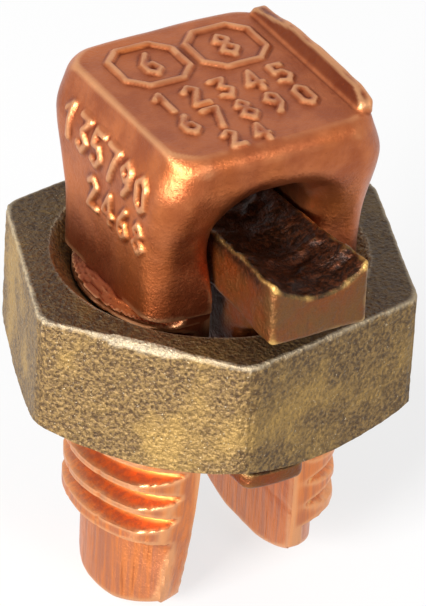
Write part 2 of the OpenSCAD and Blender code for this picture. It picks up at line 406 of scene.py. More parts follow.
def head_sizes(h):
    """Half width, half depth and corner radius of the head at a height above the shoulder."""
    lean = smooth((h - LEAN_FROM) / LEAN_OVER)
    spread = smooth((h - SPREAD_FROM) / SPREAD_OVER)
    swell = HEAD_SWELL * (smooth(h / LEAN_FROM) - lean)
    half_x = mix(HEAD_FOOT_X, HEAD_TOP_X, lean) + swell
    half_y = mix(HEAD_FOOT_Y, HEAD_TOP_Y, spread)
    return half_x, half_y, mix(HEAD_FOOT_CORNER_R, HEAD_TOP_CORNER_R, spread)


def round_corner(a, b):
    """Distance from a right-angled corner, round outside it and square inside."""
    return np.hypot(np.maximum(a, 0.0), np.maximum(b, 0.0)) + np.minimum(np.maximum(a, b), 0.0)


def block_field(x, y, z):
    """The forged block with its numbers, before the slot is cut."""
    h = np.clip(z - SHOULDER_Z, 0.0, HEAD_H)
    half_x, half_y, corner_r = head_sizes(h)
    bow = END_BOW * np.minimum(1.0, np.abs(x) / half_x) ** 2
    plan = round_corner(np.abs(x) - half_x + corner_r, np.abs(y) + bow - half_y + corner_r)
    plan = plan - corner_r
    facing = smooth((-x - np.abs(y) * 0.55) / 2.0)
    plan = plan - facing * side_numbers(-y, z - SHOULDER_Z)
    top = z - HEAD_TOP_Z - top_numbers(x, y) + STROKE_H
    end_edge = smooth((np.abs(y) - 3.9) / 1.6)
    return round_max(plan, top, mix(SIDE_EDGE_R, END_EDGE_R, end_edge))


def rim_field(x, y, z):
    """The pressed-up rim along the +X edge of the top."""
    along = smooth((5.0 - np.abs(y)) / mix(1.4, 3.6, smooth(y / 2.0)))
    rise = RIM_H * mix(RIM_END_SHARE, 1.0, along)
    crest = HEAD_TOP_Z + rise + RIM_RAGGED * edge_ragged(x, y, 0.0) - 0.06
    rim = round_max(z - crest, x - RIM_OUT_X, 0.12)
    rim = round_max(rim, RIM_IN_X - x + RIM_SLOPE * (z - HEAD_TOP_Z), 0.06)
    rim = round_max(rim, np.abs(y) - RIM_HALF_LEN, 0.3)
    return round_max(rim, HEAD_TOP_Z - RIM_ROOT_H - z, 0.05)


def ledge_field(x, y, z):
    """The ledge where the thread ends, which falls away towards its crest."""
    ring = np.hypot(x, y)
    ledge = round_max(ring - THREAD_R + 0.02, np.abs(y) - LEG_Y, 0.3)
    slope = LEDGE_DROP * smooth((ring - LEDGE_ROOT_R) / LEDGE_OVER) + 0.035 * np.sin(ring * 33.0)
    ledge = round_max(ledge, z - SHOULDER_Z - 0.04 + slope, 0.05)
    ledge = round_max(ledge, SLOT_X - np.abs(x), 0.05)
    return round_max(ledge, SHOULDER_Z - LEDGE_H - z, 0.03)


def head_field(x, y, z):
    # The slot runs up into a round-cornered arch, and its edge rolls into the end faces.
    slot = round_corner(np.abs(x) - SLOT_X + ARCH_R, z - SHOULDER_Z - ARCH_H + ARCH_R)
    roll = ROLL_R * np.maximum(LEAST_ROLL, smooth(1.5 * (z - SHOULDER_Z) / ARCH_H))
    body = round_max(block_field(x, y, z), ARCH_R - slot, roll)
    body = round_min(body, rim_field(x, y, z), 0.06)
    body = round_max(body, SHOULDER_Z - 0.02 - z, 0.06)
    body = round_min(body, ledge_field(x, y, z), 0.06)
    waves = WAVE_H * forging_waves(x, y, z) + DENT_H * forging_dents(x, y, z)
    return body + waves * smooth((z - SHOULDER_Z) / WAVES_FROM)


# ---------------------------------------------------------------- the bolt's legs
OUTER_COLUMNS = 72
INNER_COLUMNS = 36
ROWS_PER_PITCH = 18
END_ROWS = [0.0, 0.03, 0.08, 0.16, 0.26]
PILOT_ROW_STEP = 0.14
END_ROUND = 0.3
END_ARCH_FADE = 3.2
LEG_IN_HEAD = 0.35
CAP_SHARES = (0.75, 0.5, 0.25, 0.06)
leg_grain = Lumps(12, 0.45)
leg_waves = Lumps(14, 2.3)


def groove_depth_at(phase):
    """Depth of the thread groove at a height from the middle of the nearest groove."""
    away = np.abs((phase + THREAD_PITCH / 2) % THREAD_PITCH - THREAD_PITCH / 2)
    share = (GROOVE_HALF_W - away) / (GROOVE_HALF_W - GROOVE_ROOT_HALF_W)
    flank = np.clip(share, 0.0, 1.0)
    root = 1.0 - 0.12 * (away / GROOVE_HALF_W) ** 2
    return THREAD_DEPTH * flank * root


def blank_radius(turn):
    """Radius of the leg's blank, before threading, at an angle from the middle of the leg."""
    side = np.maximum(np.abs(np.sin(turn)), 1e-6)
    ahead = np.cos(turn)
    cu, cv = SLOT_X + LEG_STRIP_W, LEG_Y - LEG_CORNER_R
    along = cu * ahead + cv * side
    corner = along + np.sqrt(np.maximum(along**2 - cu**2 - cv**2 + LEG_CORNER_R**2, 0.0))
    middle = np.maximum(corner, cv / side)
    return np.where(np.abs(turn) > math.atan2(LEG_Y, cu), LEG_Y / side, middle)


def end_arch(y):
    """How far the arched leg end has risen at a distance from its middle."""
    rise = np.sqrt(LEG_END_R**2 - LEG_END_FLAT**2)
    return rise - np.sqrt(LEG_END_R**2 - np.maximum(np.abs(y), LEG_END_FLAT) ** 2)


def taper_radius(turn, z):
    """Radius to the slanted flats by which the -X leg draws in towards its end."""
    reach = TAPER_Y - TAPER_R + np.sqrt(TAPER_R**2 - np.maximum(TAPER_Z - z, 0.0) ** 2)
    slant = TAPER_SLANT * np.maximum(LEG_Y - reach, 0.0)
    fall = np.abs(np.sin(turn)) - slant * np.cos(turn)
    return (reach - slant * SLOT_X) / np.maximum(fall, 0.05)


def leg_rows(end_z, pilot_top, groove_z):
    """Heights of a leg's rings: close together at its end and along its thread."""
    low_rows = np.concatenate([END_ROWS, np.arange(0.4, pilot_top - 0.5, PILOT_ROW_STEP)])
    step = THREAD_PITCH / ROWS_PER_PITCH
    start = groove_z - THREAD_PITCH
    high_rows = np.arange(0, int((SHOULDER_Z + 0.2 - start) / step)) * step + start
    high_rows = high_rows[high_rows > end_z + low_rows[-1] + 0.05]
    rows = np.concatenate([low_rows + end_z, high_rows])
    top_z = SHOULDER_Z + LEG_IN_HEAD
    return np.concatenate([rows[rows < top_z - 0.1], [top_z]])


def leg_ring(left, zeta, end_z, pilot_top, groove_z):
    """One ring of a leg: the threaded outside, then the flat side along the slot."""
    widest = math.atan2(LEG_Y, SLOT_X)
    turn = widest * np.linspace(-1.0, 1.0, OUTER_COLUMNS)
    shear = smooth((zeta - end_z - 1.0) / 2.2) * (1.0 - smooth((zeta - SHOULDER_Z + 0.9) / 0.7))
    arched = 1.0 - smooth((zeta - end_z) / END_ARCH_FADE)
    lift = shear * THREAD_PITCH * turn * (1.0 / (2.0 * math.pi))
    blank = blank_radius(turn)
    near = np.minimum(PILOT_R, blank)
    if left:
        near = np.minimum(near, taper_radius(turn, zeta))
    z = zeta + lift + end_arch(near * np.sin(turn)) * arched
    threaded = THREAD_R - groove_depth_at(z - lift - groove_z)
    if zeta < groove_z - THREAD_PITCH / 2:
        threaded = np.full_like(turn, THREAD_R)
    runs_out = smooth((z - lift - pilot_top + 0.4) / 0.36)
    radius = mix(PILOT_R, threaded, runs_out)
    ledge = THREAD_R - 1.15 * np.maximum(0.0, z - SHOULDER_Z + LEDGE_DROP + 0.25)
    radius = round_min(radius, np.maximum(ledge, 5.0), 0.05)
    radius = round_min(radius, blank, 0.07)
    if left:
        radius = round_min(radius, taper_radius(turn, z), 0.12)
    grain = 0.012 * leg_grain(radius * np.cos(turn), radius * np.sin(turn), z)
    waves = 0.03 * leg_waves(radius * np.cos(turn), radius * np.sin(turn), z)
    near_end = max(0.0, END_ROUND - (zeta - end_z))
    inset = END_ROUND - math.sqrt(max(END_ROUND**2 - near_end**2, 0.0))
    radius = radius + grain + waves - inset
    # The flank stops at the slot: points past it slide along it.
    u = np.maximum(radius * np.cos(turn), SLOT_X + 0.02)
    outer = np.stack([u, radius * np.sin(turn), z], 1)
    t = np.linspace(1.0, -1.0, INNER_COLUMNS + 2)[1:-1]
    blend = ((1.0 - t) / 2.0)[:, None]
    inner = outer[-1] * (1.0 - blend) + outer[0] * blend
    inner[:, 0] = SLOT_X + 0.02 * leg_grain(3.0, inner[:, 1], inner[:, 2])
    across = np.linspace(turn[-1], turn[0], INNER_COLUMNS + 2)[1:-1]
    flat_z = zeta + shear * THREAD_PITCH * across / (2.0 * math.pi)
    inner[:, 2] = flat_z + end_arch(inner[:, 1]) * arched
    inner[:, 0] += inset
    return np.concatenate([outer, inner])


def shrunk(ring, share):
    middle = ring.mean(0)
    return middle + (ring - middle) * share


def leg_mesh(left):
    """One leg as rings of points from its arched end up into the head."""
    end_z = 0.0 if left else RIGHT_LEG_Z
    pilot_top = LEFT_PILOT_TOP if left else RIGHT_PILOT_TOP
    groove_z = LEFT_GROOVE_Z if left else LEFT_GROOVE_Z - THREAD_PITCH / 2
    rows = leg_rows(end_z, pilot_top, groove_z)
    rings = [leg_ring(left, zeta, end_z, pilot_top, groove_z) for zeta in rows]
    if left:
        # The -X leg is turned half round, so that the thread runs on from leg to leg.
        for ring in rings:
            ring[:, :2] *= -1.0
    low_caps = [shrunk(rings[0], share) for share in CAP_SHARES]
    high_caps = [shrunk(rings[-1], share) for share in CAP_SHARES]
    for ring in low_caps:
        ring[:, 2] = end_z + end_arch(ring[:, 1])
        ring[:, 2] += 0.03 * np.abs(leg_grain(ring[:, 0], ring[:, 1], 2.0))
    rings = low_caps[::-1] + rings + high_caps
    points, faces = closed_grid(rings)
    count = len(rings[0])
    last = (len(rings) - 1) * count
    ends = [list(range(count))[::-1], list(range(last, last + count))]
    return points, faces.tolist() + ends


def unite(whole, part):
    """Adds a closed piece to another one and leaves one skin round both."""
    joining = whole.modifiers.new("unite", "BOOLEAN")
    joining.operation = "UNION"
    joining.solver = "MANIFOLD"
    joining.object = part
    graph = bpy.context.evaluated_depsgraph_get()
    joined = bpy.data.meshes.new_from_object(whole.evaluated_get(graph))
    whole.modifiers.clear()
    old = whole.data
    whole.data = joined
    bpy.data.meshes.remove(old)
    bpy.data.objects.remove(part)


HEAD_STEP = 0.125


def make_bolt():
    low = (-7.0, -6.6, SHOULDER_Z - 1.3)
    high = (7.0, 6.6, HEAD_TOP_Z + 1.0)
    bolt = add_object("forged_bolt", *surface_net(head_field, low, high, HEAD_STEP))
    for left in (True, False):
        unite(bolt, add_object("leg_blank", *leg_mesh(left)))
    bolt.data.polygons.foreach_set("use_smooth", [True] * len(bolt.data.polygons))
    bolt.data.set_sharp_from_angle(angle=math.radians(42))
    return bolt


# ---------------------------------------------------------------- the nut
NUT_COLUMNS = 480
CORNER_CROWD = 0.06
CORNER_CUT, CORNER_SPAN = 0.16, 0.03
EDGE_W, EDGE_RAGGED = 0.1, 0.05
# A strip of the top edge is knocked off between these angles, in degrees.
CHIP_FROM, CHIP_TO, CHIP_W = 209.0, 236.0, 0.17
RIDGE_HALF_W, RIDGE_FLANK_W = 0.4, 0.34
RUN_OUT_SHARE = 0.06
cast_grain = Lumps(21, 0.24)
cast_lumps = Lumps(22, 0.6)
cast_waves = Lumps(23, 2.6)


def hexagon_radius(angle):
    """Radius of the hexagon with slightly round corners at an angle about the bolt."""
    from_corner = (angle - NUT_TURN + math.pi / 6) % (math.pi / 3) - math.pi / 6
    from_middle = (angle - NUT_TURN + math.pi / 3) % (math.pi / 3) - math.pi / 6
    flat = NUT_IN_R / np.cos(from_middle)
    return flat - CORNER_CUT * np.exp(-((from_corner / CORNER_SPAN) ** 2))


def make_nut():
    """The nut as rings of points that run under it, up its sides and back down its bore."""
    # Columns crowd a little towards the corners.
    base = np.arange(NUT_COLUMNS) / NUT_COLUMNS * 2.0 * math.pi
    angle = base + NUT_TURN - CORNER_CROWD * np.sin(6.0 * base)
    cos, sin = np.cos(angle), np.sin(angle)
    hexagon = hexagon_radius(angle)
    dome_z = math.sqrt(NUT_DOME_R**2 - NUT_RING_R**2)
    foot = dome_z - np.sqrt(NUT_DOME_R**2 - hexagon**2)
    rings = []

    def ring(radius, height, rough=1.0):
        radius = radius + np.zeros(NUT_COLUMNS)
        height = height + np.zeros(NUT_COLUMNS)
        rings.append((radius, height, np.full(NUT_COLUMNS, rough)))

    for share in np.linspace(0.0, 1.0, 7)[:-1]:
        ring(mix(NUT_BORE_R + NUT_SINK_H / 2, NUT_RING_R, share), 0.0)
    for share in np.linspace(0.0, 1.0, 9)[:-1]:
        radius = mix(NUT_RING_R, hexagon, share)
        ring(radius, dome_z - np.sqrt(NUT_DOME_R**2 - radius**2))
    ragged = EDGE_RAGGED * edge_ragged(hexagon * cos, hexagon * sin, 3.0)
    degrees = np.degrees(angle) % 360.0
    chip = smooth((degrees - CHIP_FROM) / 0.8) * smooth((CHIP_TO - degrees) / 9.0)
    uneven = edge_ragged(hexagon * cos * 2.0, hexagon * sin * 2.0, 9.0)
    edge = EDGE_W + CHIP_W * chip + EDGE_RAGGED * (1.0 + uneven)
    for share in np.linspace(0.0, 1.0, 46):
        ring(hexagon, mix(foot, NUT_H - edge, share))
    ring(hexagon - 0.3 * edge, NUT_H - 0.3 * edge + np.minimum(ragged, 0.0) * 0.4)
    ring(hexagon - edge, NUT_H + np.minimum(ragged, 0.0) * 0.2)
    for share in np.linspace(0.0, 1.0, 16)[1:]:
        ring(mix(hexagon - edge, NUT_SINK_R + 0.04, share), NUT_H)
    for share in np.linspace(0.0, 1.0, 7):
        ring(mix(NUT_SINK_R, NUT_BORE_R, share), NUT_H - NUT_SINK_H * (0.03 + 0.97 * share), 0.4)
    # The thread inside stands in the bolt's grooves.
    top, bottom = NUT_H - NUT_SINK_H, NUT_SINK_H / 2
    steps = int((top - bottom) / THREAD_PITCH * 12)
    groove_at = LEFT_GROOVE_Z - THREAD_PITCH / 2 - nut_low[2]
    for share in np.linspace(0.0, 1.0, steps)[1:-1]:
        height = mix(top, bottom, share)
        phase = height - groove_at - THREAD_PITCH * angle / (2.0 * math.pi)
        away = np.abs((phase + THREAD_PITCH / 2) % THREAD_PITCH - THREAD_PITCH / 2)
        ridge = np.clip((RIDGE_HALF_W - away) / RIDGE_FLANK_W, 0.0, 1.0)
        runs_out = smooth(share / RUN_OUT_SHARE) * smooth((1.0 - share) / RUN_OUT_SHARE)
        ring(NUT_BORE_R - (NUT_BORE_R - NUT_THREAD_R) * ridge * runs_out, height, 0.1)
    ring(NUT_BORE_R, bottom, 0.2)
    ring(NUT_BORE_R + NUT_SINK_H / 4, bottom / 2, 0.2)
    loops = []
    for radius, height, rough in rings:
        x, y = radius * cos, radius * sin
        bumps = 0.02 * cast_grain(x, y, height) + 0.016 * cast_lumps(x, y, height)
        bumps = (bumps + 0.03 * cast_waves(x, y, height)) * rough
        wall = np.clip((radius - NUT_SINK_R) / (hexagon - NUT_SINK_R), 0.0, 1.0) ** 8
        inward = np.where(height <= 0.0, 1.0, np.where(height >= NUT_H, -1.0, 0.0))
        radius = radius + (bumps - 0.04) * wall
        height = height + (np.abs(bumps) * inward) * (1.0 - wall)
        loops.append(np.stack([radius * cos, radius * sin, height + nut_low[2]], 1))
    points, faces = closed_grid(loops + [loops[0]])
    count = len(loops) * NUT_COLUMNS
    faces = [[v % count for v in f] for f in faces.tolist()]
    return add_object("cast_nut", points[:count], faces, 50.0)


# ---------------------------------------------------------------- the pressure bar
bar_pits = Lumps(31, 0.55)
bar_waves = Lumps(32, 1.7)
bar_scars = Lumps(33, 0.28)


FLARE_FROM, FLARE_OVER = 6.4, 2.0
TOOTH_H, TOOTH_TURN = 0.11, 3.4
PIT_H, SCAR_H = 0.09, 0.03
SEAT_OVER, LIP_OVER = 1.1, 0.7
BAR_STEP = 0.12


def beam_field(x, y, z):
    """The beam across the slot, with its rough wire groove along the top."""
    h = z - BAR_Z
    sway_r = (BAR_HALF_LEN**2 + BAR_SWAY**2) / (2.0 * BAR_SWAY)
    sag = sway_r - np.sqrt(sway_r**2 - np.minimum(np.abs(y), BAR_HALF_LEN) ** 2)
    top = h - (BAR_END_H - BAR_SWAY + sag)
    half = BAR_W / 2 + BAR_FLARE * smooth((np.abs(y) - FLARE_FROM) / FLARE_OVER)
    wire_r = (half**2 + GROOVE_DEPTH**2) / (2.0 * GROOVE_DEPTH)
    wire = wire_r - np.hypot(x, h - BAR_END_H + GROOVE_DEPTH - wire_r)
    wander = bar_waves(x, y, 0.0)
    teeth = TOOTH_H * np.sin(y * TOOTH_TURN + 2.2 * wander) * (0.6 + 0.4 * wander)
    rough = PIT_H * bar_pits(x, y, z) + SCAR_H * bar_scars(x, y, z)
    inward = smooth((BAR_HALF_LEN - 0.2 - np.abs(y)) / 1.2)
    upper = round_max(top, wire + teeth * inward, 0.4) + rough * mix(0.3, 1.0, inward)
    sides = round_max(np.abs(x) - half + 0.05, -h - BAR_BELLY, 0.25)
    ends = np.abs(y) - BAR_HALF_LEN + 0.06
    return round_max(round_max(sides, ends, 0.28), upper, 0.22)


def stem_field(x, y, z):
    """The stem through the nut, wider at its seat and at the lip under the nut."""
    seat_z = nut_high[2] - NUT_SINK_H
    outline = mix(STEM_R, SEAT_R, smooth((z - seat_z) / SEAT_OVER))
    lip_top = STEM_FOOT_Z + LIP_H
    bulge = smooth((lip_top + LIP_OVER - z) / LIP_OVER)
    outline = mix(outline, LIP_R - 0.05, bulge)
    stem = round_max(np.abs(x) - STEM_W / 2, np.hypot(x, y) - outline, 0.45)
    stem = round_max(stem, STEM_FOOT_Z + 0.04 - z, 0.3)
    return round_max(stem, z - BAR_Z - 0.6, 0.05)


def bar_field(x, y, z):
    body = round_min(beam_field(x, y, z), stem_field(x, y, z), 0.25)
    return body + 0.03 * bar_waves(x, y, z) + 0.012 * bar_pits(z, x, y)


def make_bar():
    low = (-2.8, -BAR_HALF_LEN - 0.3, STEM_FOOT_Z - 0.3)
    high = (2.8, BAR_HALF_LEN + 0.3, BAR_Z + BAR_END_H + 0.4)
    points, quads = surface_net(bar_field, low, high, BAR_STEP)
    return add_object("pressure_bar_cast", points, quads, 50.0)


# ---------------------------------------------------------------- finishes
class Wire:
    """One output of a shader node. Arithmetic on it adds the Math nodes."""

    def __init__(self, sheet, output):
        self.sheet = sheet
        self.output = output

    def _math(self, operation, first, second, clamp=False):
        settings = {"operation": operation, "use_clamp": clamp}
        return self.sheet.node("ShaderNodeMath", settings, {0: first, 1: second})

    def __add__(self, other):
        return self._math("ADD", self, other)

    __radd__ = __add__

    def __sub__(self, other):
        return self._math("SUBTRACT", self, other)

    def __rsub__(self, other):
        return self._math("SUBTRACT", other, self)

    def __mul__(self, other):
        return self._math("MULTIPLY", self, other)

    __rmul__ = __mul__

    def __pow__(self, other):
        return self._math("POWER", self, other)

    def clamped(self):
        return self._math("ADD", self, 0.0, clamp=True)

    def at_least(self, other):
        return self._math("MAXIMUM", self, other)

    def at_most(self, other):
        return self._math("MINIMUM", self, other)

    def between(self, low, high):
        """0 at low, 1 at high, with a smooth step between."""
        return self.sheet.node(
            "ShaderNodeMapRange",
            {"interpolation_type": "SMOOTHSTEP"},
            {"Value": self, "From Min": low, "From Max": high},
        )


class Sheet:
    """A sheet of shader nodes, of a material or of the world."""

    def __init__(self, tree):
        self.tree = tree
        self.tree.nodes.clear()

    def node(self, kind, settings, inputs, output=0):
        """Adds a node: its type, its settings, and the values or links of its sockets."""
        made = self.tree.nodes.new(kind)
        for key, value in settings.items():
            setattr(made, key, value)
        for key, value in inputs.items():
            socket = made.inputs[key]
            if isinstance(value, Wire):
                self.tree.links.new(value.output, socket)
            else:
                socket.default_value = value
        return Wire(self, made.outputs[output]) if made.outputs else None

    def ray(self, kind):
        return self.node("ShaderNodeLightPath", {}, {}, kind)


class Finish(Sheet):
    """A material under construction."""

    def __init__(self, name):
        self.material = bpy.data.materials.new(name)
        self.material.use_nodes = True
        super().__init__(self.material.node_tree)
        self.space = self.node("ShaderNodeTexCoord", {}, {}, "Object")

    def noise(self, per_mm, detail, roughness, space=None):
        return self.node(
            "ShaderNodeTexNoise",
            {"normalize": True},
            {
                "Vector": space or self.space,
                "Scale": per_mm / MM,
                "Detail": detail,
                "Roughness": roughness,
            },
        )

    def cells(self, per_mm):
        inputs = {"Vector": self.space, "Scale": per_mm / MM}
        return self.node("ShaderNodeTexVoronoi", {"feature": "F1"}, inputs)

    def stretched(self, x, y, z):
        inputs = {0: self.space, 1: (x, y, z)}
        return self.node("ShaderNodeVectorMath", {"operation": "MULTIPLY"}, inputs)

    def share(self, axis):
        """The object's own coordinate along an axis, in millimetres."""
        split = self.node("ShaderNodeSeparateXYZ", {}, {0: self.space}, axis)
        return split * (1.0 / MM)

    def normal(self, axis):
        facing = self.node("ShaderNodeNewGeometry", {}, {}, "Normal")
        return self.node("ShaderNodeSeparateXYZ", {}, {0: facing}, axis)

    def attribute(self, name):
        return self.node("ShaderNodeAttribute", {"attribute_name": name}, {}, "Fac")

    def blend(self, share, first, second):
        """Mix of two colours by a share from 0 to 1."""
        # These are the places of the colour sockets among the Mix node's inputs and outputs.
        inputs = {0: share, 6: first, 7: second}
        return self.node("ShaderNodeMix", {"data_type": "RGBA"}, inputs, 2)

    def shell(self, metallic, colour, roughness, height, depth_mm):
        bump = self.node("ShaderNodeBump", {}, {"Distance": depth_mm * MM, "Height": height})
        inputs = {
            "Base Color": colour,
            "Metallic": metallic,
            "Roughness": roughness,
            "Normal": bump,
        }
        shader = self.node("ShaderNodeBsdfPrincipled", {}, inputs)
        self.node("ShaderNodeOutputMaterial", {}, {"Surface": shader})
        return self.material


def srgb(red, green, blue):
    """A colour given in 0 to 255 as the shader wants it."""

    def linear(value):
        share = value / 255.0
        return share / 12.92 if share <= 0.04045 else ((share + 0.055) / 1.055) ** 2.4

    return (linear(red), linear(green), linear(blue), 1.0)


def forged_copper():
    """Bare forged copper: rosy on the struck faces, orange on the turned legs, with painted shade in
    the hollows and on up-facing faces, a painted glow in the thread grooves, and pale edges that are
    partly wear and partly painted highlight.
    """
    paint = Finish("forged_copper")
    height_mm = paint.share("Z")
    broad = paint.noise(0.16, 3.0, 0.55)
    cloud = paint.noise(0.6, 4.0, 0.6)
    fine = paint.noise(5.0, 5.0, 0.65)
    pits = paint.noise(9.0, 3.0, 0.7)
    drawn = paint.noise(3.2, 3.0, 0.6, paint.stretched(1.0, 1.0, 0.07))
    hollow = paint.attribute("hollow")
    edge_wear_and_highlight = paint.attribute("edge_wear_and_highlight")
    struck = height_mm.between(nut_low[2] - 0.5, nut_low[2] + 0.5)
    pilot = height_mm.between(LEFT_PILOT_TOP + 0.1, LEFT_PILOT_TOP - 0.3)
    # Darker towards the shoulder of the head, near the nut.
    darker_low = height_mm.between(SHOULDER_Z + 4.2, SHOULDER_Z - 0.2) * struck
    rose = srgb(158, 84, 50)
    pink = srgb(186, 109, 68)
    orange = srgb(208, 118, 58)
    brown = srgb(96, 32, 10)
    pale = srgb(244, 184, 132)
    turned = srgb(220, 130, 72)
    crest = srgb(188, 116, 82)
    # root is a painted reflection: the glow of light bounced between the copper thread flanks.
    root = srgb(255, 208, 134)
    face = paint.blend(cloud.between(0.35, 0.68), rose, pink)
    face = paint.blend(broad.between(0.45, 0.7) * 0.75, face, orange)
    face = paint.blend((darker_low * (0.3 + 0.5 * cloud)).clamped(), face, brown)
    # Painted shade: faces that look upward turn darker and rosier.
    level = paint.normal("Z").between(0.8, 0.98)
    face = paint.blend(level * 0.35, face, rose)
    # Painted shade: the head darkens to brown in its hollows.
    face = paint.blend((hollow * 0.85).clamped(), face, brown)
    leg = paint.blend(drawn.between(0.35, 0.65), crest, turned)
    # Painted reflection: the hollows of the thread grooves glow orange.
    leg = paint.blend((hollow * (1.0 - pilot)).clamped(), leg, root)
    leg = paint.blend((pilot * drawn.between(0.56, 0.7) * 0.6).clamped(), leg, rose)
    colour = paint.blend(struck, leg, face)
    colour = paint.blend((fine.between(0.6, 0.8) * 0.35).clamped(), colour, brown)
    # Painted shade in the trough at the inner foot of the rim.
    trough_shade = (paint.share("X").between(4.2, 4.5) * paint.share("X").between(5.0, 4.8)).clamped()
    trough_shade = trough_shade * height_mm.between(HEAD_TOP_Z - 0.1, HEAD_TOP_Z + 0.05)
    colour = paint.blend(trough_shade * 0.75, colour, brown)
    # Pale where the surface stands out: partly worn edges, partly painted edge highlight.
    colour = paint.blend((edge_wear_and_highlight * 0.5).clamped(), colour, pale)
    roughness = 0.22 + 0.16 * cloud + 0.12 * fine
    height = 0.6 * fine + 0.4 * pits + cloud + pilot * drawn * 1.4
    return paint.shell(0.95, colour, roughness, height, 0.045)


def cast_bronze():
    """Sand-cast bronze: a tan grain over olive, with painted shade on top and in the hollows, pale
    grains that are partly painted glints, and pale edges that are partly wear and partly painted
    highlight.
    """
    paint = Finish("cast_bronze")
    broad = paint.noise(0.3, 3.0, 0.6)
    grain = paint.noise(5.6, 3.0, 0.6)
    sand_and_glints = paint.noise(9.0, 2.0, 0.6)
    specks = paint.cells(4.5)
    hollow = paint.attribute("hollow")
    edge_wear_and_highlight = paint.attribute("edge_wear_and_highlight")
    upward = paint.normal("Z").between(0.75, 0.98)
    olive = srgb(78, 56, 30)
    tan = srgb(134, 106, 62)
    gold = srgb(168, 134, 70)
    dark = srgb(48, 33, 18)
    pale = srgb(222, 206, 176)
    colour = paint.blend(grain.between(0.36, 0.64), olive, tan)
    colour = paint.blend(broad.between(0.48, 0.7) * 0.55, colour, gold)
    colour = paint.blend(specks.between(0.3, 0.08) * 0.55, colour, dark)
    # Painted shade: the nut darkens where it faces upward.
    colour = paint.blend(upward * 0.62, colour, dark)
    # Painted shade in the hollows.
    colour = paint.blend((hollow * 0.8).clamped(), colour, dark)
    # Pale grains, partly sand and partly painted glints.
    colour = paint.blend((sand_and_glints.between(0.66, 0.76) * 0.7).clamped(), colour, pale)
    # Pale along the top edge where it stands out: partly wear, partly painted highlight.
    rim = paint.share("Z").between(nut_high[2] - 1.0, nut_high[2] - 0.3)
    colour = paint.blend((edge_wear_and_highlight * rim * 0.4).clamped(), colour, pale)
    roughness = 0.4 + 0.2 * grain
    height = grain + 0.6 * specks + 0.4 * sand_and_glints
    return paint.shell(0.5, colour, roughness, height, 0.11)


def stained_bronze():
    """Cast bronze with rust-brown sides, near-black in the wire groove, on other up-facing surfaces and
    along its top away from the ends, with painted shade in hollows and pale edges that are partly wear
    and partly painted highlight.
    """
    paint = Finish("stained_bronze")
    cloud = paint.noise(0.7, 4.0, 0.6)
    grain = paint.noise(4.0, 4.0, 0.65)
    hollow = paint.attribute("hollow")
    edge_wear_and_highlight = paint.attribute("edge_wear_and_highlight")
    upward = paint.normal("Z")
    black = srgb(24, 11, 5)
    umber = srgb(84, 44, 22)
    rust = srgb(120, 56, 18)
    olive = srgb(104, 68, 32)
    pale = srgb(206, 164, 92)
    end = (paint.share("Y") ** 2).between(62.0, 88.0)
    # Near-black on up-facing surfaces and along the top of the bar away from its ends.
    top_band = (paint.share("Z") + 1.6 * cloud).between(bar_high[2] - 0.9, bar_high[2] + 0.1)
    dark = (upward.between(0.1, 0.6) * 0.95).at_least(top_band * (1.0 - end) * 0.9)
    black_to_umber = paint.blend(grain.between(0.42, 0.66), black, umber)
    colour = paint.blend((cloud.between(0.35, 0.65) * 0.6 + end * 0.4).clamped(), rust, olive)
    colour = paint.blend(dark.clamped(), colour, black_to_umber)
    # Painted shade in the hollows.
    colour = paint.blend((hollow * 0.8).clamped(), colour, black)
    # Pale where edges stand out, most at the ends: partly wear, partly painted highlight.
    colour = paint.blend((edge_wear_and_highlight * (0.25 + 0.6 * end)).clamped(), colour, pale)
    roughness = 0.2 + 0.3 * grain
    return paint.shell(0.7, colour, roughness, grain + cloud, 0.1)


# ---------------------------------------------------------------- edge wear, painted highlight and painted shade from the shape
SMOOTHING_ROUNDS = 6


def mark_edges_and_hollows(piece, scale_mm, bend):
    """Stores how much each point stands out of or sinks into its surroundings, for pale edges that are
    partly wear and partly painted highlight, and for painted shade and glow in hollows.
    """
    mesh = piece.data
    count = len(mesh.vertices)
    points = np.empty(count * 3)
    mesh.vertices.foreach_get("co", points)
    points = points.reshape(-1, 3) / MM
    normals = np.empty(count * 3)
    mesh.vertices.foreach_get("normal", normals)
    normals = normals.reshape(-1, 3)
    edges = np.empty(len(mesh.edges) * 2, int)
    mesh.edges.foreach_get("vertices", edges)
    edges = edges.reshape(-1, 2)
    degree = np.bincount(edges.ravel(), minlength=count).astype(float)
    degree = np.maximum(degree, 1.0)

    def mean_of_neighbours(values):
        out = np.empty_like(values)
        for column in range(values.shape[1]):
            data = values[:, column]
            total = np.bincount(edges[:, 0], weights=data[edges[:, 1]], minlength=count)
            total += np.bincount(edges[:, 1], weights=data[edges[:, 0]], minlength=count)
            out[:, column] = total / degree
        return out

    blurred = points
    for _ in range(SMOOTHING_ROUNDS):
        blurred = mean_of_neighbours(blurred)
    out = ((points - blurred) * normals).sum(1) / scale_mm
    for name, sign in (("edge_wear_and_highlight", 1.0), ("hollow", -1.0)):
        share = smooth((sign * out - bend[0]) / (bend[1] - bend[0]))
        layer = mesh.attributes.new(name, "FLOAT", "POINT")
        layer.data.foreach_set("value", share.astype(np.float32))


# ---------------------------------------------------------------- the object
bolt = make_bolt()
nut = make_nut()
bar = make_bar()
for piece, body, node, slot, material, scale_mm, bend in (
    (bolt, "bolt", "bolt_body", "bolt_body", forged_copper(), 0.1, (0.14, 0.55)),
    (nut, "hex_nut", "hex_nut", "hex_nut", cast_bronze(), 0.08, (0.3, 1.0)),
    (bar, "pressure_bar", "pressure_bar", "pressure_bar", stained_bronze(), 0.1, (0.3, 0.9)),
):
    mark_edges_and_hollows(piece, scale_mm, bend)
    piece.data.materials.clear()
    piece.data.materials.append(material)
    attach(piece, body)
    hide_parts(node)


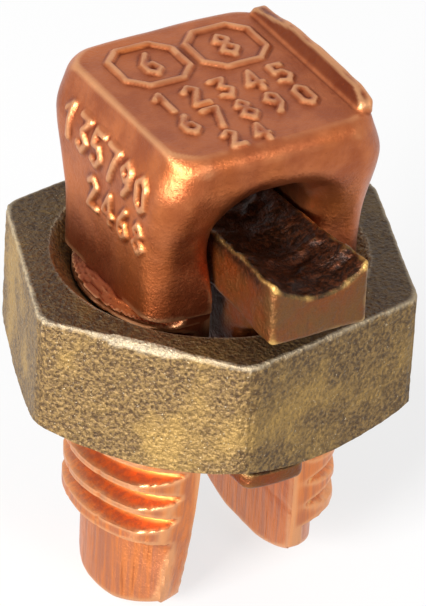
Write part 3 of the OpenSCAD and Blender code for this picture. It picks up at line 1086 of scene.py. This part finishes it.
# ---------------------------------------------------------------- floor, light, camera
FLOOR_HALF = 0.6
FLOOR_GLOW = 0.7
OBJECT_MIDDLE_Z = 0.014


def grey(level):
    return (level, level, level, 1.0)


def make_floor():
    half = FLOOR_HALF
    mesh = bpy.data.meshes.new("floor")
    corners = [(-half, -half, 0.0), (half, -half, 0.0), (half, half, 0.0), (-half, half, 0.0)]
    mesh.from_pydata(corners, [], [(0, 1, 2, 3)])
    floor = bpy.data.objects.new("floor", mesh)
    bpy.context.scene.collection.objects.link(floor)
    paint = Finish("pale_floor")
    shade = paint.node("ShaderNodeBsdfDiffuse", {}, {"Color": grey(0.93)})
    glow = paint.node("ShaderNodeEmission", {}, {"Color": grey(1.0)})
    share = paint.ray("Is Camera Ray") * FLOOR_GLOW + paint.ray("Is Glossy Ray")
    both = paint.node("ShaderNodeMixShader", {}, {0: share.at_most(1.0), 1: shade, 2: glow})
    paint.node("ShaderNodeOutputMaterial", {}, {"Surface": both})
    mesh.materials.append(paint.material)


def make_world():
    """White where it is seen or mirrored, and a soft grey where it lights the object."""
    world = bpy.data.worlds.new("studio")
    bpy.context.scene.world = world
    world.use_nodes = True
    sky = Sheet(world.node_tree)
    mirrored = sky.ray("Is Glossy Ray").at_least(sky.ray("Is Transmission Ray"))
    seen = sky.ray("Is Camera Ray").at_least(mirrored)
    soft = sky.node("ShaderNodeBackground", {}, {"Color": grey(0.42)})
    white = sky.node("ShaderNodeBackground", {}, {"Color": grey(1.0)})
    either = sky.node("ShaderNodeMixShader", {}, {0: seen, 1: soft, 2: white})
    sky.node("ShaderNodeOutputWorld", {}, {"Surface": either})


def aim(thing, spot):
    away = thing.location - Vector(spot)
    thing.rotation_euler = away.to_track_quat("Z", "Y").to_euler()


def make_lamp(name, azimuth_degrees, elevation_degrees, distance, size, power):
    data = bpy.data.lights.new(name, "AREA")
    data.shape = "RECTANGLE"
    data.size, data.size_y = size
    data.energy = power
    lamp = bpy.data.objects.new(name, data)
    azimuth, elevation = math.radians(azimuth_degrees), math.radians(elevation_degrees)
    lamp.location = Vector(
        (
            distance * math.cos(elevation) * math.cos(azimuth),
            distance * math.cos(elevation) * math.sin(azimuth),
            OBJECT_MIDDLE_Z + distance * math.sin(elevation),
        )
    )
    bpy.context.scene.collection.objects.link(lamp)
    bpy.context.view_layer.update()
    aim(lamp, (0.0, 0.0, OBJECT_MIDDLE_Z))


VIEW_AZIMUTH = math.radians(-31.69)
VIEW_ELEVATION = math.radians(32.51)
VIEW_ROLL = math.radians(3.28)
VIEW_DISTANCE = 294.3
VIEW_SHIFT_X = 0.27
VIEW_TARGET_Z = 14.05
LENS = 382.2


def make_camera():
    sin_a, cos_a = math.sin(VIEW_AZIMUTH), math.cos(VIEW_AZIMUTH)
    sin_e, cos_e = math.sin(VIEW_ELEVATION), math.cos(VIEW_ELEVATION)
    back = Vector((sin_a * cos_e, -cos_a * cos_e, sin_e))
    level = Vector((cos_a, sin_a, 0.0))
    up = back.cross(level)
    sin_r, cos_r = math.sin(VIEW_ROLL), math.cos(VIEW_ROLL)
    right = level * cos_r + up * sin_r
    upward = up * cos_r - level * sin_r
    target = level * VIEW_SHIFT_X + Vector((0.0, 0.0, VIEW_TARGET_Z))
    turn = Matrix((right, upward, back)).transposed().to_4x4()
    data = bpy.data.cameras.new("camera")
    data.lens = LENS
    data.sensor_width = 36.0
    data.clip_start = 0.01
    camera = bpy.data.objects.new("camera", data)
    camera.matrix_world = Matrix.Translation((target + back * VIEW_DISTANCE) * MM) @ turn
    bpy.context.scene.collection.objects.link(camera)
    bpy.context.scene.camera = camera


make_floor()
make_world()
make_lamp("key", 202, 16, 0.5, (0.22, 0.16), 5.4)
make_lamp("fill", 275, 34, 0.6, (0.16, 0.2), 0.8)
make_camera()
bpy.context.scene.view_settings.view_transform = "Standard"
